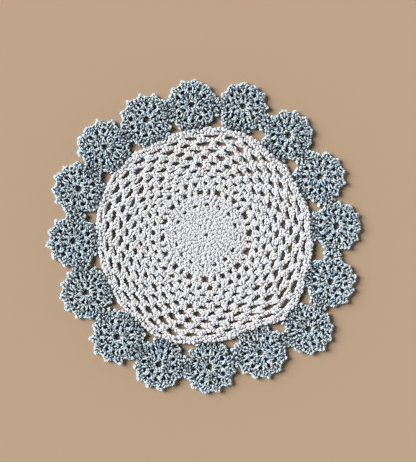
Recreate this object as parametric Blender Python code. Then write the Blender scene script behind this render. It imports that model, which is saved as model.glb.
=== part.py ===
"""Round crocheted doily: an openwork mat with a ring of sixteen rosettes worked onto its edge.

Run it with blender --background --python part.py, or from Blender's text editor.
Metres, +Z up. The doily lies flat: its underside is Z = 0 and the mat's centre is the origin.
"""

import math

import bpy
from mathutils import Vector
from mathutils.geometry import delaunay_2d_cdt

# Driving dimensions, in metres and degrees.
YARN_DIAMETER = 0.0027
THICKNESS = 1.7 * YARN_DIAMETER  # two yarns on each other, pressed a little
RIM_ROUNDING = 0.0011  # how far the top and bottom edges of a rim draw in
JOIN_GAP = 0.0003  # between two pieces that meet

# The rosettes, clockwise from the one above the mat's centre.
# bearing: degrees from +X. reach: centre to centre with the mat, in millimetres.
# turn: degrees from +X to the first space between two of its twelve petals.
# tip: how far its picots stand from its centre, in millimetres.
ROSETTE_COLUMNS = ("bearing", "reach", "turn", "tip")
ROSETTES = (
    (95.7, 138.1, 6.0, 27.1),
    (73.7, 141.5, 13.3, 25.4),
    (50.5, 137.0, 25.9, 26.1),
    (27.3, 135.7, 29.5, 27.0),
    (4.3, 138.2, 12.1, 26.3),
    (-20.1, 140.0, 23.5, 26.9),
    (-42.1, 146.3, 21.4, 26.4),
    (-64.5, 135.1, 2.6, 28.6),
    (-88.1, 137.7, 5.4, 28.2),
    (-109.7, 143.0, 18.3, 26.6),
    (-131.0, 140.0, 18.5, 28.8),
    (-154.5, 138.1, 24.8, 28.4),
    (-177.9, 138.4, 24.4, 28.5),
    (159.5, 141.9, 16.7, 28.1),
    (138.5, 140.7, 28.4, 29.8),
    (116.7, 136.4, 28.6, 28.0),
)

# One picot of a rosette's edge, from the valley before it: shares of its pitch and its tip.
PICOT_PITCH = 30.0
PICOT_PROFILE = ((0.0, 0.905), (0.26, 0.982), (0.5, 1.0), (0.74, 0.982))
EYE_RADIUS = 0.0026  # the hole at a rosette's centre
EYE_CORNERS = 6

# How a rosette meets the mat: a round stretch that both follow.
MAT_JOIN_RADIUS = 0.0278
MAT_JOIN_HALF_ANGLE = 36.0
MAT_JOIN_TURN = -3.5  # degrees that the stretch lies off the line to the mat's centre
MAT_JOIN_STEPS = 6
EDGE_DIP = 0.0032  # the mat's edge between two rosettes draws in by this

# How two rosettes meet: a straight seam, to this far inside and outside its middle.
SEAM_INNER = 0.0105
SEAM_OUTER = 0.0095
SEAM_LEAN = 0.0018  # how far its inner end lies off the line to the mat's centre
SEAM_MARGIN = 3.0  # degrees past a seam's ends that hold no picot point

# The mat's spaces, one row for each round of them.
# radius, width (along the round) and height in millimetres; turn in degrees from +X.
SPACE_COLUMNS = ("radius", "width", "height", "count", "turn")
SPACES = (
    (45.2, 5.6, 7.4, 16, 2.95),
    (56.2, 4.6, 4.3, 32, -4.4),
    (62.7, 4.8, 4.3, 32, 1.4),
    (69.0, 5.4, 4.5, 32, 6.9),
    (76.2, 6.8, 4.8, 32, 13.8),
    (83.3, 7.6, 5.0, 32, 19.8),
    (90.3, 8.0, 5.0, 32, 26.5),
    (97.6, 8.0, 4.8, 32, 33.3),
    (104.7, 8.0, 4.4, 32, 39.8),
)
SPACE_CORNERS = 6
PULL_START = 0.050  # inside this radius the rounds aren't drawn towards the edge
# The rounds aren't quite regular: they lie off centre, and crowd on one side.
ROUNDS_SHIFT = 0.00105  # towards +X
ROUNDS_INSET = 0.0004
ROUNDS_DRIFT = 2.6  # degrees at most, halfway along DRIFT_REACH
DRIFT_REACH = 0.150
SMALLEST_STEP = 1e-7  # points nearer than this would be one

# Plain colours, linear, with roughness.
OFF_WHITE = (0.78, 0.77, 0.75, 1.0)
BLUE_GREY = (0.27, 0.34, 0.38, 1.0)
COTTON_ROUGHNESS = 0.9


# How the triangulation is asked to keep only what lies inside the outer loop.
INSIDE = 1


def rows(columns, table):
    """The table's rows, each with its columns' names."""
    return [dict(zip(columns, row)) for row in table]


def around(centre, radius, bearing):
    """The point at a radius and a bearing in degrees from a centre."""
    angle = math.radians(bearing)
    return centre + radius * Vector((math.cos(angle), math.sin(angle)))


def turned(bearing, reference):
    """The bearing as a signed turn from a reference, within half a circle."""
    return (bearing - reference + 180.0) % 360.0 - 180.0


def direction(start, end):
    """The bearing in degrees from one point to another."""
    return math.degrees(math.atan2(end.y - start.y, end.x - start.x))


MAT_CENTRE = Vector((0.0, 0.0))
ROSETTE_ROWS = rows(ROSETTE_COLUMNS, ROSETTES)
CENTRES = [around(MAT_CENTRE, row["reach"] / 1000, row["bearing"]) for row in ROSETTE_ROWS]
MEAN_EDGE = sum(centre.length for centre in CENTRES) / len(CENTRES) - MAT_JOIN_RADIUS


def mat_edge(bearing):
    """The mat's radius at a bearing, eased from one rosette's join to the next."""
    ordered = sorted(ROSETTE_ROWS, key=lambda row: turned(row["bearing"], bearing))
    after = next(row for row in ordered if turned(row["bearing"], bearing) >= 0)
    before = ordered[ordered.index(after) - 1]
    span = (after["bearing"] - before["bearing"]) % 360.0
    share = ((bearing - before["bearing"]) % 360.0) / span
    eased = 0.5 - 0.5 * math.cos(math.pi * share)
    reach = before["reach"] + (after["reach"] - before["reach"]) * eased
    return reach / 1000 - MAT_JOIN_RADIUS


def pulled(radius, bearing):
    """A round's radius where the mat is drawn out or in towards its uneven edge."""
    share = max(0.0, (radius - PULL_START) / (MEAN_EDGE - PULL_START))
    return radius + (mat_edge(bearing) - MEAN_EDGE) * share**2


def drift(radius):
    """How far a round of this radius crowds to one side, in degrees."""
    return ROUNDS_DRIFT * math.sin(math.pi * radius / DRIFT_REACH)


def space_loop(row, index):
    """The corners of one space of a round, wider along the round than across it."""
    regular = row["turn"] + index * 360.0 / row["count"]
    bearing = regular + drift(row["radius"] / 1000) * math.sin(math.radians(regular))
    shift = ROUNDS_SHIFT * math.cos(math.radians(bearing)) - ROUNDS_INSET
    radius = pulled(row["radius"] / 1000, bearing) + shift
    middle = around(MAT_CENTRE, radius, bearing)
    outwards = middle.normalized()
    along = Vector((outwards.y, -outwards.x))
    loop = []
    for corner in range(SPACE_CORNERS):
        angle = math.tau * corner / SPACE_CORNERS
        across = math.sin(angle) / math.sin(math.tau / SPACE_CORNERS)
        loop.append(
            middle
            + along * (row["width"] / 2000 * math.cos(angle))
            + outwards * (row["height"] / 2000 * across)
        )
    return loop


def mat_join(bearing):
    """The bearings from a rosette's centre along its join with the mat."""
    middle = bearing + 180.0 + MAT_JOIN_TURN
    step = 2 * MAT_JOIN_HALF_ANGLE / MAT_JOIN_STEPS
    return [middle + MAT_JOIN_HALF_ANGLE - number * step for number in range(MAT_JOIN_STEPS + 1)]


def mat_outline():
    """The mat's edge: a hollow beside each rosette, and a dip between two."""
    hollows = []
    # The table runs clockwise, and the outline counter-clockwise.
    for row, centre in reversed(list(zip(ROSETTE_ROWS, CENTRES))):
        join = mat_join(row["bearing"])
        hollows.append([around(centre, MAT_JOIN_RADIUS + JOIN_GAP, bearing) for bearing in join])
    edge = []
    for hollow, following in zip(hollows, hollows[1:] + hollows[:1]):
        middle = (hollow[-1] + following[0]) / 2
        edge.extend(hollow)
        edge.append(middle - middle.normalized() * EDGE_DIP)
    return edge


def picots(turn, tip):
    """The (bearing, radius) points of a rosette's free edge."""
    points = []
    for picot in range(round(360.0 / PICOT_PITCH)):
        for share, reach in PICOT_PROFILE:
            points.append((turn + (picot + share) * PICOT_PITCH, reach * tip))
    return points


def seam(here, neighbour):
    """The seam between two rosettes: its outer end, its middle and its inner end."""
    middle = (here + neighbour) / 2
    outwards = middle.normalized()
    inner = middle - outwards * SEAM_INNER + Vector((-outwards.y, outwards.x)) * SEAM_LEAN
    outer = middle + outwards * SEAM_OUTER
    return outer, (outer + inner) / 2, inner


def rosette_outline(index):
    """A rosette's edge: picots where it is free, and its joins to the mat and two neighbours."""
    row, centre = ROSETTE_ROWS[index], CENTRES[index]
    points = picots(row["turn"], row["tip"] / 1000)

    # The join with the mat replaces the picots there.
    join = mat_join(row["bearing"])
    inwards = join[MAT_JOIN_STEPS // 2]
    clear = MAT_JOIN_HALF_ANGLE + MAT_JOIN_HALF_ANGLE / MAT_JOIN_STEPS
    points = [point for point in points if abs(turned(point[0], inwards)) > clear]
    points += [(bearing, MAT_JOIN_RADIUS) for bearing in join]

    # So does a straight seam with each neighbour, and no picot reaches past its line.
    for neighbour in (index - 1, (index + 1) % len(CENTRES)):
        ends = seam(centre, CENTRES[neighbour])
        along = (ends[2] - ends[0]).normalized()
        across = Vector((along.y, -along.x))
        across *= math.copysign(1.0, across.dot(ends[1] - centre))
        distance = across.dot(ends[1] - centre) - JOIN_GAP / 2
        towards = direction(Vector((0.0, 0.0)), across)
        seam_bearings = [direction(centre, end - across * JOIN_GAP / 2) for end in ends]
        offsets = [turned(bearing, towards) for bearing in seam_bearings]
        low, high = min(offsets) - SEAM_MARGIN, max(offsets) + SEAM_MARGIN
        kept = []
        for bearing, radius in points:
            away = turned(bearing, towards)
            if low < away < high:
                continue
            if abs(away) < 90.0:
                radius = min(radius, distance / math.cos(math.radians(away)))
            kept.append((bearing, radius))
        for offset in offsets:
            kept.append((towards + offset, distance / math.cos(math.radians(offset))))
        points = kept

    points.sort(key=lambda point: turned(point[0], inwards))
    return [around(centre, radius, bearing) for bearing, radius in points]


def eye_loop(centre, turn):
    """The round hole at a rosette's centre."""
    return [
        around(centre, EYE_RADIUS, turn + corner * 360.0 / EYE_CORNERS)
        for corner in range(EYE_CORNERS)
    ]


def drawn_in(outline, distance):
    """A counter-clockwise outline moved inwards."""
    moved = []
    befores = outline[-1:] + outline[:-1]
    afters = outline[1:] + outline[:1]
    for before, here, after in zip(befores, outline, afters):
        along = (after - before).normalized()
        moved.append(here + distance * Vector((-along.y, along.x)))
    return moved


def flat_faces(loops):
    """Triangles between the first loop and the others, as numbers of the loops' points."""
    points = [point for loop in loops for point in loop]
    loop_of = [number for number, loop in enumerate(loops) for _ in loop]
    edges = []
    start = 0
    for loop in loops:
        size = len(loop)
        edges.extend((start + i, start + (i + 1) % size) for i in range(size))
        start += size
    outer = list(range(len(loops[0])))
    result = delaunay_2d_cdt(points, edges, [outer], INSIDE, SMALLEST_STEP)
    if len(result[0]) != len(points):
        raise ValueError("two outlines cross, or two of their points meet")
    faces = []
    for face in result[2]:
        corners = [result[3][corner][0] for corner in face]
        owners = {loop_of[corner] for corner in corners}
        # A triangle whose corners all lie on one hole fills that hole.
        if len(owners) == 1 and 0 not in owners:
            continue
        faces.append(corners)
    return faces


def sheet(name, outline, holes, material):
    """A flat sheet of crochet with a rounded rim, cut through by its holes."""
    loops = [drawn_in(outline, RIM_ROUNDING)] + holes
    flat = [point for loop in loops for point in loop]
    count = len(flat)
    vertices = [(point.x, point.y, 0.0) for point in flat]
    vertices += [(point.x, point.y, THICKNESS) for point in flat]
    vertices += [(point.x, point.y, THICKNESS / 2) for point in outline]
    middle = 2 * count

    faces = []
    for corners in flat_faces(loops):
        faces.append([corner + count for corner in corners])
        faces.append(corners[::-1])

    rim = len(outline)
    for i in range(rim):
        after = (i + 1) % rim
        faces.append([i, after, middle + after, middle + i])
        faces.append([middle + i, middle + after, count + after, count + i])
    start = rim
    for hole in holes:
        size = len(hole)
        for i in range(size):
            here = start + i
            after = start + (i + 1) % size
            faces.append([after, here, count + here, count + after])
        start += size

    mesh = bpy.data.meshes.new(name)
    mesh.from_pydata(vertices, [], faces)
    mesh.materials.append(material)
    mesh.validate()
    body = bpy.data.objects.new(name, mesh)
    bpy.context.scene.collection.objects.link(body)
    return body


def cotton(name, colour):
    """A plain cotton yarn material."""
    material = bpy.data.materials.new(name)
    material.use_nodes = True
    shader = material.node_tree.nodes["Principled BSDF"]
    shader.inputs["Base Color"].default_value = colour
    shader.inputs["Roughness"].default_value = COTTON_ROUGHNESS
    shader.inputs["Metallic"].default_value = 0.0
    return material


def clear_scene():
    """Removes what the scene starts with."""
    for item in list(bpy.data.objects):
        bpy.data.objects.remove(item, do_unlink=True)


def main():
    """Builds the mat and its ring of rosettes."""
    clear_scene()
    off_white = cotton("off_white_yarn", OFF_WHITE)
    blue_grey = cotton("blue_grey_yarn", BLUE_GREY)

    spaces = [
        space_loop(row, index)
        for row in rows(SPACE_COLUMNS, SPACES)
        for index in range(row["count"])
    ]
    sheet("centre_mat", mat_outline(), spaces, off_white)

    for index, row in enumerate(ROSETTE_ROWS):
        eye = eye_loop(CENTRES[index], row["turn"])
        sheet(f"rosette_{index + 1:02d}", rosette_outline(index), [eye], blue_grey)


main()
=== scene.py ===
"""Dresses a round crocheted doily: every stitch is real yarn, worked round by round.

The mat is off-white cotton: a dense middle, a tall round and a net that widens to the edge.
Sixteen blue-grey rosettes are joined onto it. Metres throughout, in the frame of the solids.
"""

import logging
import math
from dataclasses import dataclass, field
from enum import Enum

import bpy
import numpy as np
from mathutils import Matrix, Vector


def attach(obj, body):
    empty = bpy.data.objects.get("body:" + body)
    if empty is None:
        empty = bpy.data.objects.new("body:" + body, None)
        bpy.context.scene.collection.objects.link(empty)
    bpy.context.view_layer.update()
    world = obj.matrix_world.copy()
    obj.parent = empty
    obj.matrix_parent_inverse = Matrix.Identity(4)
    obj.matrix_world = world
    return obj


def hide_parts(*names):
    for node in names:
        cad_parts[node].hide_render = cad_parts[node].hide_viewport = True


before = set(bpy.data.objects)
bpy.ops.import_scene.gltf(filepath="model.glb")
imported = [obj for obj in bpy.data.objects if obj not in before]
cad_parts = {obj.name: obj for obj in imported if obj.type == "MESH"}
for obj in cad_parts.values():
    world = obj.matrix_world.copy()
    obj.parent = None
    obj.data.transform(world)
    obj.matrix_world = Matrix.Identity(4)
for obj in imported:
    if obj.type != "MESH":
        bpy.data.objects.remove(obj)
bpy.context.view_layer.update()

LOG = logging.getLogger("doily")
MM = 0.001
TURN = math.tau
TINY = 1e-6  # no length is divided by that is shorter, in metres
BODY = "root"
SEED = 20
FABRIC_MIDDLE = 2.5 * MM  # its height above the table

Array = np.ndarray
Random = np.random.Generator
Colour = tuple[float, float, float]
Socket = bpy.types.NodeSocket


def linked(thing: bpy.types.Object) -> bpy.types.Object:
    """The object, now in the scene."""
    bpy.context.scene.collection.objects.link(thing)
    return thing


# ---------------- yarn and its paths


class Kind(Enum):
    """How a stitch of a round is made: a loop alone, one on two legs, or one on twisted legs."""

    CHAIN = "chain"
    SHORT = "short"
    TWISTED = "twisted"


@dataclass(frozen=True)
class Yarn:
    """A plied cotton yarn: its thickness, and how finely its surface is made.

    Yarn behind the fabric is hidden. It has hidden_share of the thickness, so that its radius
    is less than hidden_below diameters, and steps that are longer by hidden_step.
    """

    diameter: float
    hidden_share: float = 0.80
    hidden_below: float = 0.45
    hidden_step: float = 1.8
    sides: int = 6
    longest_step: float = 2.2 * MM
    shortest_step: float = 0.8 * MM
    bend_per_step: float = 0.78
    plies: int = 4
    ply_pitch: float = 7.0 * MM


@dataclass
class Strand:
    """One run of yarn: its points and its radius at each, in metres."""

    points: Array
    radius: Array


@dataclass
class Node:
    """A place on a round where a loop starts, and what the stitch there holds.

    The loop starts at "at", its legs wrap round the foot, and lift is its height above the
    middle of the fabric.
    """

    at: Array
    kind: Kind = Kind.CHAIN
    foot: Array | None = None
    lift: float = 0.0


def polar(bearing: float, radius: float) -> Array:
    """A point in the plane from its bearing in radians and its radius.

    Args:
        bearing: the angle from +X.
        radius: the distance from the centre.

    Returns:
        The point's x and y.
    """
    return np.array((radius * math.cos(bearing), radius * math.sin(bearing)))


def smooth_line(points: Array, values: Array, per_span: int) -> tuple[Array, Array]:
    """A Catmull-Rom curve through the points.

    Args:
        points: the control points, one row each.
        values: a number at each point, eased the same way.
        per_span: the curve's points for each span.

    Returns:
        The curve's points and its values.
    """
    padded = np.vstack((2 * points[:1] - points[1:2], points, 2 * points[-1:] - points[-2:-1]))
    a, b, c, d = padded[:-3], padded[1:-2], padded[2:-1], padded[3:]
    t = (np.arange(per_span) / per_span)[None, :, None]
    a, b, c, d = (array[:, None, :] for array in (a, b, c, d))
    curve = 0.5 * (
        2 * b + (c - a) * t + (2 * a - 5 * b + 4 * c - d) * t**2 + (3 * b - a - 3 * c + d) * t**3
    )
    line = np.vstack((curve.reshape(-1, 3), points[-1:]))
    at = np.concatenate((np.arange(len(line) - 1) / per_span, [len(points) - 1.0]))
    return line, np.interp(at, np.arange(len(points)), values)


def lengths_along(line: Array) -> Array:
    """The length from a line's start to each of its points."""
    steps = np.linalg.norm(np.diff(line, axis=0), axis=1)
    return np.concatenate(([0.0], np.cumsum(steps)))


def picked(line: Array, values: Array, at: Array) -> tuple[Array, Array]:
    """The line at some lengths along it.

    Args:
        line: its points.
        values: a number at each point.
        at: the lengths from its start.

    Returns:
        The points and values there.
    """
    along = lengths_along(line)
    points = np.stack([np.interp(at, along, line[:, axis]) for axis in range(3)], axis=1)
    return points, np.interp(at, along, values)


def evenly(line: Array, values: Array, step: float) -> tuple[Array, Array]:
    """The line again with points a step apart.

    Args:
        line: its points.
        values: a number at each point.
        step: the distance wanted.

    Returns:
        The new points and values.
    """
    length = lengths_along(line)[-1]
    return picked(line, values, np.linspace(0.0, length, max(2, round(length / step) + 1)))


def by_bend(line: Array, values: Array, yarn: Yarn) -> tuple[Array, Array]:
    """The line again with points close where it bends and further apart where it is straight.

    Args:
        line: its points, close together.
        values: a number at each point.
        yarn: gives the steps, and the bend allowed in one.

    Returns:
        The new points and values.
    """
    along = lengths_along(line)
    tangents = np.gradient(line, along, axis=0)
    tangents /= np.maximum(np.linalg.norm(tangents, axis=1, keepdims=True), TINY)
    turn = np.linalg.norm(np.gradient(tangents, along, axis=0), axis=1)
    wanted = np.clip(turn / yarn.bend_per_step, 1 / yarn.longest_step, 1 / yarn.shortest_step)
    wanted[values < yarn.hidden_below * yarn.diameter] /= yarn.hidden_step
    count = np.concatenate(([0.0], np.cumsum((wanted[1:] + wanted[:-1]) / 2 * np.diff(along))))
    rings = max(3, round(count[-1]) + 1)
    return picked(line, values, np.interp(np.linspace(0.0, count[-1], rings), count, along))


# ---------------- stitches


@dataclass(frozen=True)
class StitchShape:
    """Sizes of one stitch, as shares of the yarn's diameter unless said otherwise.

    Front and over are the heights of loops and legs above the fabric's middle, and behind and
    under their depths below it. Through is how far legs reach past the yarn that they hold.
    """

    front: float = 0.46
    over: float = 0.86
    behind: float = 0.50
    under: float = 0.76
    through: float = 0.62
    loop_narrow: float = 0.22
    loop_wide: float = 0.50
    chain_snug: float = 0.72  # of the loop's usual width
    leg_spread: float = 0.27  # of the pitch
    widest_pitch: float = 2.4
    foot_spread: float = 0.34
    twisted_foot: float = 1.6  # of the foot's usual spread
    crossing: float = 2.1
    twisted_crossing: float = 1.4
    twisted_spread: float = 0.72
    above_foot: float = 0.25
    head: float = 0.9
    head_most: float = 0.35  # of the stitch's height
    jitter: float = 0.13
    girth_jitter: float = 0.03  # of the thickness


NET_STITCH = StitchShape(loop_narrow=0.28, loop_wide=0.6, twisted_spread=1.05)
INNER_STITCH = StitchShape(loop_narrow=0.2, loop_wide=0.4)
MIDDLE_STITCH = StitchShape(front=0.8, over=0.5, loop_wide=0.56, jitter=0.17)
ROSETTE_STITCH = StitchShape(jitter=0.24)


class StitchWriter:
    """Writes a round of stitches as one continuous yarn."""

    def __init__(self, yarn: Yarn, shape: StitchShape, rng: Random) -> None:
        """Keeps what every stitch needs.

        Args:
            yarn: the yarn.
            shape: the stitch's proportions.
            rng: the seeded source of unevenness.
        """
        self.yarn = yarn
        self.shape = shape
        self.rng = rng

    def loop(self, start: Array, end: Array, lift: tuple[float, float], snug: float) -> list[tuple]:
        """The loop from one node to the next: front strand, turn, back strand, bump behind.

        Args:
            start: where the loop starts.
            end: where the next one starts.
            lift: the height of both above the fabric's middle.
            snug: how wide the loop opens, as a share of its usual width.

        Returns:
            Points of (x, y, height, thickness).
        """
        s, d = self.shape, self.yarn.diameter
        span = end - start
        out = np.array((span[1], -span[0])) / max(np.linalg.norm(span), TINY)
        thin = self.yarn.hidden_share
        steps = (  # along the span, across it, height and thickness
            (0.04, 0.05, -0.12, 0.9),
            (0.34, -s.loop_narrow * snug, s.front * 0.9, 1.0),
            (0.88, -s.loop_wide * snug, s.front * 1.15, 1.0),
            (1.27, 0.02, 0.14, 0.95),
            (0.90, s.loop_wide * snug, s.front * 0.85, 1.0),
            (0.40, s.loop_narrow * snug, s.front * 0.6, 1.0),
            (0.03, 0.03, -0.24, thin),
            (0.38, 0.0, -s.behind, thin),
            (0.76, 0.0, -s.behind, thin),
        )
        made = []
        for along, across, height, thickness in steps:
            place = start + along * span + across * d * out
            level = lift[0] + (lift[1] - lift[0]) * min(along, 1.0) + height * d
            made.append((place[0], place[1], level, thickness))
        return made

    def legs(self, node: Node, pitch: float) -> list[tuple]:
        """The legs of a stitch: down behind, up and down in front, and up again behind.

        In front the two legs cross each other, more often in a taller stitch.

        Args:
            node: the stitch's place and foot.
            pitch: the distance to the next stitch.

        Returns:
            Points of (x, y, height, thickness).
        """
        s, d = self.shape, self.yarn.diameter
        up = node.at - node.foot
        tall = max(np.linalg.norm(up), TINY)
        up = up / tall
        side = np.array((-up[1], up[0])) * self.rng.choice((-1.0, 1.0))
        twisted = node.kind is Kind.TWISTED
        wide = s.twisted_spread * d if twisted else s.leg_spread * min(pitch, s.widest_pitch * d)
        narrow = s.foot_spread * d * (s.twisted_foot if twisted else 1.0)
        thin = self.yarn.hidden_share
        base = node.foot + up * s.above_foot * d
        reach = tall - s.above_foot * d - min(s.head * d, s.head_most * tall)
        crossings = max(1, round((tall - d) / ((s.twisted_crossing if twisted else s.crossing) * d)))
        past = -(s.through + s.above_foot) * d

        def spot(rise: float, aside: float, height: float, thickness: float) -> tuple:
            """One point of a leg, from the foot upwards."""
            place = base + up * rise + side * aside
            return (place[0], place[1], node.lift + height * d, thickness)

        made = [
            spot(0.5 * tall, -0.3 * wide, -s.behind, thin),
            spot(0.0, -narrow, -s.under, thin),
            spot(past, -0.8 * narrow, -0.02, thin),
            spot(0.0, -narrow, s.over, 1.0),
        ]
        turns = []
        for number in range(1, crossings + 1):
            sign = 1.0 if number % 2 else -1.0
            turns.append((reach * (number - 0.5) / crossings, 0.0, s.over * 0.88))
            turns.append((reach * number / crossings, sign * wide, s.front * 1.05))
        made += [spot(rise, aside, height, 1.0) for rise, aside, height in turns]
        made.append(spot(reach + 0.5 * d, 0.0, s.front * 0.35, 0.9))
        for rise, aside, height in reversed(turns):
            made.append(spot(rise - 0.05 * d, -aside, height if aside else -0.06, 1.0))
        made += [
            spot(0.0, narrow, s.over * 0.95, 1.0),
            spot(past, 0.8 * narrow, -0.02, thin),
            spot(0.0, narrow, -s.under, thin),
            spot(0.5 * tall, 0.4 * wide, -s.behind, thin),
        ]
        return made

    def cross_pairs(self, nodes: list[Node], share: float) -> None:
        """Lets two stitches that stand side by side cross each other.

        Args:
            nodes: a round's stitches in order.
            share: how many of the pairs cross.
        """
        index = 0
        while index < len(nodes) - 1:
            here, following = nodes[index], nodes[index + 1]
            paired = here.foot is not None and following.foot is not None
            if paired and self.rng.random() < share:
                here.foot, following.foot = following.foot, here.foot
                index += 1
            index += 1

    def round(self, nodes: list[Node], closed: bool = True) -> Strand:
        """A whole round as one strand.

        Args:
            nodes: the round's stitches in order.
            closed: whether the last loop runs on to the first node.

        Returns:
            The strand, with uneven points.
        """
        path = []
        count = len(nodes)
        for index, node in enumerate(nodes if closed else nodes[:-1]):
            following = nodes[(index + 1) % count]
            pitch = float(np.linalg.norm(following.at - node.at))
            if node.foot is not None:
                path += self.legs(node, pitch)
            snug = 1.0 if node.foot is not None else self.shape.chain_snug
            path += self.loop(node.at, following.at, (node.lift, following.lift), snug)
        table = np.array(path)
        wobble = self.rng.normal(0.0, self.shape.jitter * self.yarn.diameter, (len(table), 3))
        points = table[:, :3] + wobble
        points[:, 2] += FABRIC_MIDDLE
        girth = self.rng.normal(1.0, self.shape.girth_jitter, len(table))
        return Strand(points, table[:, 3] * girth * self.yarn.diameter / 2)


# ---------------- settling


@dataclass(frozen=True)
class Settling:
    """Lets the yarns push each other apart until they lie on and beside each other.

    Push, stiffness, stretch, hold and lower are shares of a fault that a round puts right:
    two yarns in one place, a bend, a wrong length, a move from the start and too great a height.
    """

    step: float = 1.1 * MM
    contact: float = 0.92  # of the two radii, as cotton gives a little
    reach: float = 2.2  # of the largest radius: pairs further apart aren't looked at
    skip: int = 3  # points up to this far from each other along one yarn aren't a pair
    pairs_every: int = 6
    rounds: int = 40
    push: float = 0.36
    stiffness: float = 0.13
    stretch: float = 0.25
    hold: float = 0.035
    lower: float = 0.5
    ceiling: float = 5.3 * MM

    def pairs(self, points: Array, strand_of: Array, reach: float) -> tuple[Array, Array]:
        """Every pair of points nearer than the reach that aren't neighbours on one yarn.

        Args:
            points: all points.
            strand_of: the number of each point's strand.
            reach: the distance looked at.

        Returns:
            The first and second point of each pair.
        """
        cell = np.floor((points - points.min(axis=0)) / reach).astype(np.int64) + 1
        size = cell.max(axis=0) + 2
        key = (cell[:, 0] * size[1] + cell[:, 1]) * size[2] + cell[:, 2]
        order = np.argsort(key, kind="stable")
        ordered = key[order]
        first, second = [], []
        numbers = np.arange(len(points))
        for dx in (-1, 0, 1):
            for dy in (-1, 0, 1):
                for dz in (-1, 0, 1):
                    shift = (dx * size[1] + dy) * size[2] + dz
                    if shift < 0:
                        continue
                    low = np.searchsorted(ordered, key + shift, side="left")
                    high = np.searchsorted(ordered, key + shift, side="right")
                    for place in range(int((high - low).max())):
                        near = low + place
                        mine = numbers[near < high]
                        other = order[near[near < high]]
                        if shift == 0:
                            keep = other > mine
                            mine, other = mine[keep], other[keep]
                        first.append(mine)
                        second.append(other)
        a, b = np.concatenate(first), np.concatenate(second)
        same = (strand_of[a] == strand_of[b]) & (np.abs(a - b) <= self.skip)
        close = np.linalg.norm(points[a] - points[b], axis=1) < reach
        keep = close & ~same
        return a[keep], b[keep]

    @staticmethod
    def shift(points: Array, which: Array, moves: Array) -> None:
        """Moves points, each as often as it is named.

        Args:
            points: all points.
            which: the number of the point for each move.
            moves: the moves.
        """
        for axis in range(3):
            points[:, axis] += np.bincount(which, moves[:, axis], len(points))

    def settle(self, strands: list[Strand]) -> list[Strand]:
        """Moves all strands apart where they press into each other.

        Args:
            strands: the runs of yarn.

        Returns:
            The strands, settled.
        """
        lines = []
        for strand in strands:
            line, radius = smooth_line(strand.points, strand.radius, 6)
            lines.append(evenly(line, radius, self.step))
        points = np.vstack([line for line, _ in lines])
        radius = np.concatenate([thickness for _, thickness in lines])
        sizes = [len(line) for line, _ in lines]
        strand_of = np.repeat(np.arange(len(lines)), sizes)
        start = points.copy()
        inner = np.ones(len(points), bool)
        ends = np.cumsum(sizes)
        inner[ends - 1] = False
        inner[np.concatenate(([0], ends[:-1]))] = False
        inside = np.flatnonzero(inner)
        joined = np.flatnonzero(strand_of[1:] == strand_of[:-1])
        rest = np.linalg.norm(points[joined + 1] - points[joined], axis=1)
        reach = self.reach * float(radius.max())
        for turn in range(self.rounds):
            if turn % self.pairs_every == 0:
                a, b = self.pairs(points, strand_of, reach)
            gap = points[b] - points[a]
            distance = np.maximum(np.linalg.norm(gap, axis=1), TINY)
            apart = (radius[a] + radius[b]) * self.contact
            press = np.maximum(apart - distance, 0.0) * self.push / distance
            moves = gap * press[:, None] / 2
            self.shift(points, b, moves)
            self.shift(points, a, -moves)
            bend = (points[inside - 1] + points[inside + 1]) / 2 - points[inside]
            points[inside] += bend * self.stiffness
            span = points[joined + 1] - points[joined]
            length = np.maximum(np.linalg.norm(span, axis=1), TINY)
            fix = span * ((length - rest) / length * self.stretch)[:, None]
            self.shift(points, joined, fix)
            self.shift(points, joined + 1, -fix)
            points += (start - points) * self.hold
            points[:, 2] = np.maximum(points[:, 2], radius)
            high = np.maximum(points[:, 2] + radius - self.ceiling, 0.0)
            points[:, 2] -= self.lower * high
        pieces = np.split(points, ends[:-1])
        return [Strand(piece, lines[number][1]) for number, piece in enumerate(pieces)]


# ---------------- depth in the fabric


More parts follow.
